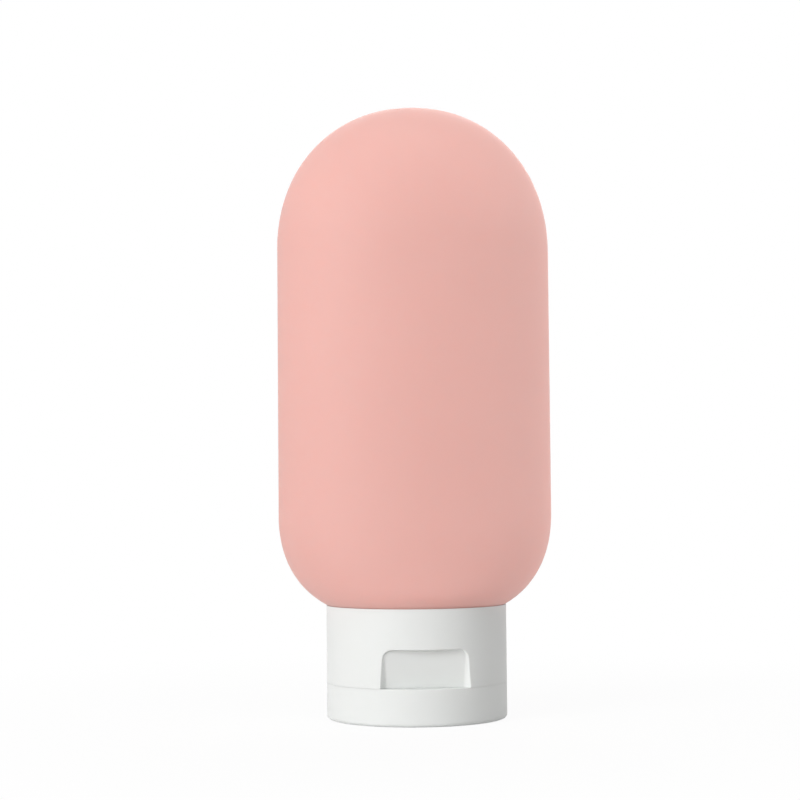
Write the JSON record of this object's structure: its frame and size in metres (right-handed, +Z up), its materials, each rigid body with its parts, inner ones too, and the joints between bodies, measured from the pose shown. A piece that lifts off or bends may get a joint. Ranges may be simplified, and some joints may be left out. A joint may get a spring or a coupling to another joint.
{
  "type": "travel squeeze tube",
  "caption": "Soft oval squeeze tube with a domed end that stands on its round screw cap with a hinged flip lid and a thumb recess.",
  "frame": {"origin": "centre of the lid's flat end, on the surface that the tube stands on", "axes": "+Z up the tube from the cap to the dome, +Y away from the thumb recess towards the lid's hinge, +X across the wide side"},
  "size_m": [0.0502, 0.0346, 0.1122],
  "materials": {
    "soft_pink_body": "matte, softly moulded",
    "white_cap": "satin, injection moulded",
    "soft_washer": "matte, soft"
  },
  "bodies": {
    "cap": {"cap_collar": "white_cap", "sealing_washer": "soft_washer"},
    "bottle": {"squeeze_body": "soft_pink_body"},
    "lid": {"flip_lid": "white_cap"}
  },
  "joints": [
    {"name": "bottle_lift", "type": "slide", "parent": "cap", "child": "bottle", "axis": [0, 0, 1], "range_m": [0, 0.025]},
    {"name": "lid_hinge", "type": "hinge", "parent": "cap", "child": "lid", "pos_m": [0, 0.01705, 0.0066], "axis": [1, 0, 0], "range_deg": [0, 175]}
  ]
}
